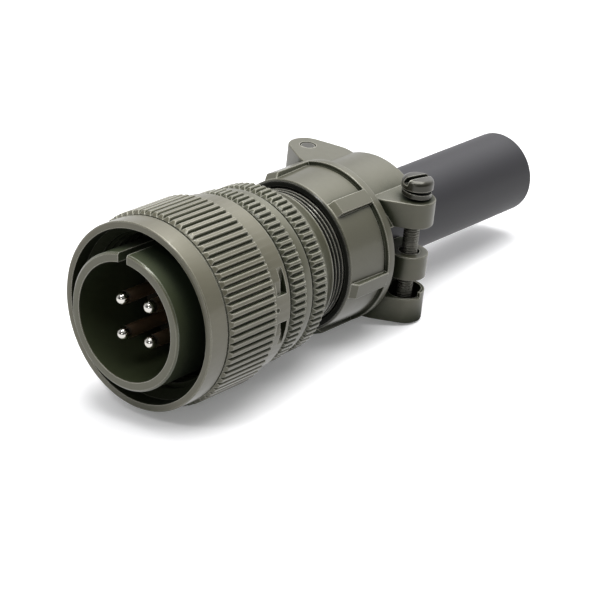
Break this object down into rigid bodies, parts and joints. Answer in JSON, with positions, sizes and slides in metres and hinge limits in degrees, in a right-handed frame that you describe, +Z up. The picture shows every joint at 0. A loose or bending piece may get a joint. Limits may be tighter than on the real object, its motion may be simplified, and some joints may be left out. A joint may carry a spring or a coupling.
{
  "type": "circular connector plug with cable clamp",
  "caption": "Straight circular plug: threaded coupling nut, pin contacts in a keyed barrel, back shell and a cable clamp on a long rubber tube.",
  "frame": {"origin": "centre of the plug barrel's front face, on the connector's axis", "axes": "+Y along the axis from the mating face to the cable, +Z up through the barrel's keyway, +X to the side of the clamp screw whose head is on top"},
  "size_m": [0.0364, 0.1087, 0.0354],
  "materials": {
    "olive_shell": "olive drab plated, satin",
    "olive_nut": "olive drab plated, satin",
    "olive_casting": "olive drab plated die casting, satin",
    "screw_steel": "dark olive plated steel",
    "spring_steel": "spring steel",
    "insert_black": "moulded black insulator",
    "contact_silver": "silver-plated copper alloy",
    "seal_rubber": "black rubber",
    "bushing_rubber": "matte dark rubber"
  },
  "bodies": {
    "root": {"front_shell": "olive_shell", "front_insert": "insert_black", "rear_insert": "insert_black", "insert_retaining_ring": "spring_steel", "shell_seal": "seal_rubber", "back_shell": "olive_shell", "clamp_body": "olive_casting", "cable_bushing": "bushing_rubber", "contact_a": "contact_silver", "contact_b": "contact_silver", "contact_c": "contact_silver", "contact_d": "contact_silver"},
    "nut": {"coupling_nut": "olive_nut", "nut_retaining_ring": "spring_steel"},
    "upper_saddle_body": {"upper_saddle": "olive_casting"},
    "lower_saddle_body": {"lower_saddle": "olive_casting"},
    "right_screw": {"clamp_screw_right": "screw_steel", "lock_washer_right": "screw_steel"},
    "left_screw": {"clamp_screw_left": "screw_steel", "lock_washer_left": "screw_steel"}
  },
  "joints": [
    {"name": "nut_spin", "type": "hinge", "parent": "root", "child": "nut", "pos_m": [0, 0.02, 0], "axis": [0, 1, 0], "continuous": true},
    {"name": "upper_saddle_slide", "type": "slide", "parent": "root", "child": "upper_saddle_body", "axis": [0.1305, 0, 0.9914], "range_m": [0, 0.001]},
    {"name": "lower_saddle_slide", "type": "slide", "parent": "root", "child": "lower_saddle_body", "axis": [-0.1305, 0, -0.9914], "range_m": [0, 0.001]},
    {"name": "right_screw_turn", "type": "hinge", "parent": "upper_saddle_body", "child": "right_screw", "pos_m": [0.01299, 0.0626, -0.00171], "axis": [0.1305, 0, 0.9914], "range_deg": [0, 1440]},
    {"name": "left_screw_turn", "type": "hinge", "parent": "lower_saddle_body", "child": "left_screw", "pos_m": [-0.01299, 0.0626, 0.00171], "axis": [-0.1305, 0, -0.9914], "range_deg": [0, 1440]}
  ],
  "couplings": [
    {"joint": "lower_saddle_slide", "follows": "upper_saddle_slide", "ratio": 1},
    {"joint": "right_screw_turn", "follows": "upper_saddle_slide", "rad_per_m": 25133},
    {"joint": "left_screw_turn", "follows": "upper_saddle_slide", "rad_per_m": 25133}
  ]
}
